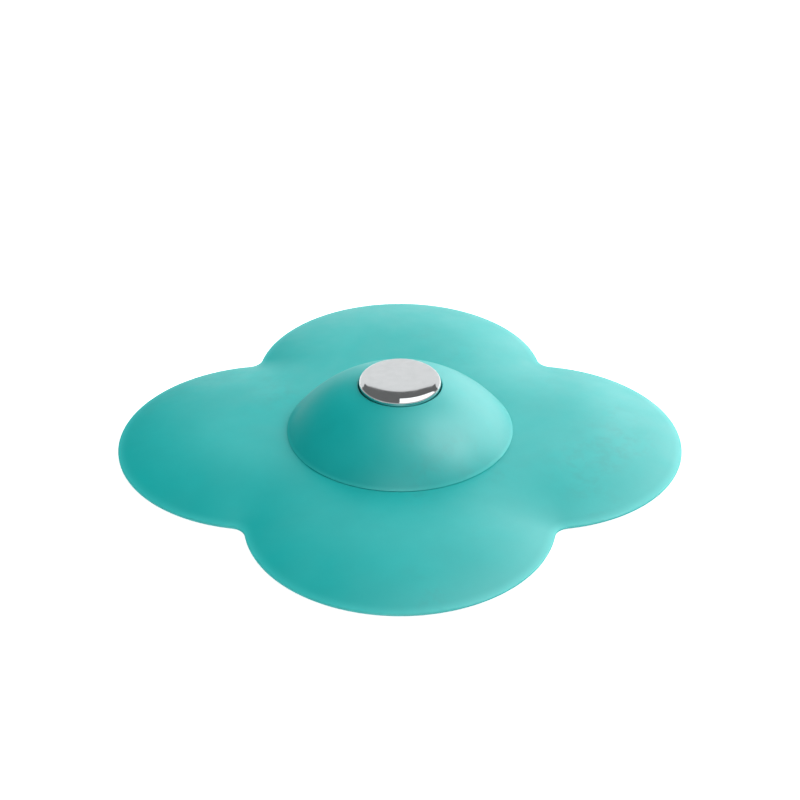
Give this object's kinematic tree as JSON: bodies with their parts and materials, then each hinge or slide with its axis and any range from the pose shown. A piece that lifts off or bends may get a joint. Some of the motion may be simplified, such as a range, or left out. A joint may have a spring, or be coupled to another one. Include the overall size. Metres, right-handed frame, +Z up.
{
  "type": "drain stopper",
  "caption": "Four-petal silicone drain stopper with a domed cap that lifts on a click mechanism when its chrome push button is pressed.",
  "frame": {"origin": "on the surface the mat lies on, under the middle of the dome", "axes": "+Z up along the dome's axis; petals point along +X, -X, +Y and -Y, and -Y faces the viewer"},
  "size_m": [0.156, 0.156, 0.0221],
  "materials": {
    "teal_silicone": "soft matte",
    "teal_plastic": "soft matte",
    "polished_chrome": "polished",
    "seal_rubber": "matte",
    "white_plastic": "fine satin",
    "grey_plastic": "fine satin",
    "steel": "drawn and turned"
  },
  "bodies": {
    "base": {"petal_mat": "teal_silicone", "strainer_plate": "white_plastic", "clamp_ring": "white_plastic", "clamp_screws": "steel", "guide_barrel": "grey_plastic", "barrel_nut": "grey_plastic", "barrel_cap": "grey_plastic", "spring_washer": "steel", "return_spring": "steel"},
    "dome": {"dome_cap": "teal_plastic", "dome_seal": "seal_rubber", "seal_retainer": "white_plastic", "lift_sleeve": "grey_plastic", "dome_screws": "steel", "stem_bush": "grey_plastic", "button_spring": "steel"},
    "button": {"push_button": "polished_chrome", "button_core": "grey_plastic", "plunger": "white_plastic", "rotor_clip": "steel"},
    "rotor": {"ratchet_rotor": "grey_plastic"}
  },
  "joints": [
    {"name": "dome_lift", "type": "slide", "parent": "base", "child": "dome", "axis": [0, 0, 1], "range_m": [0, 0.005], "deforming": ["return_spring"]},
    {"name": "button_press", "type": "slide", "parent": "dome", "child": "button", "axis": [0, 0, 1], "range_m": [-0.0016, 0], "stiffness_N_per_m": 1500, "deforming": ["button_spring"]},
    {"name": "rotor_index", "type": "hinge", "parent": "button", "child": "rotor", "pos_m": [0, 0, 0.0041], "axis": [0, 0, 1], "range_deg": [0, 90]}
  ],
  "couplings": [
    {"joint": "rotor_index", "follows": "button_press", "rad_per_m": -245.4}
  ]
}
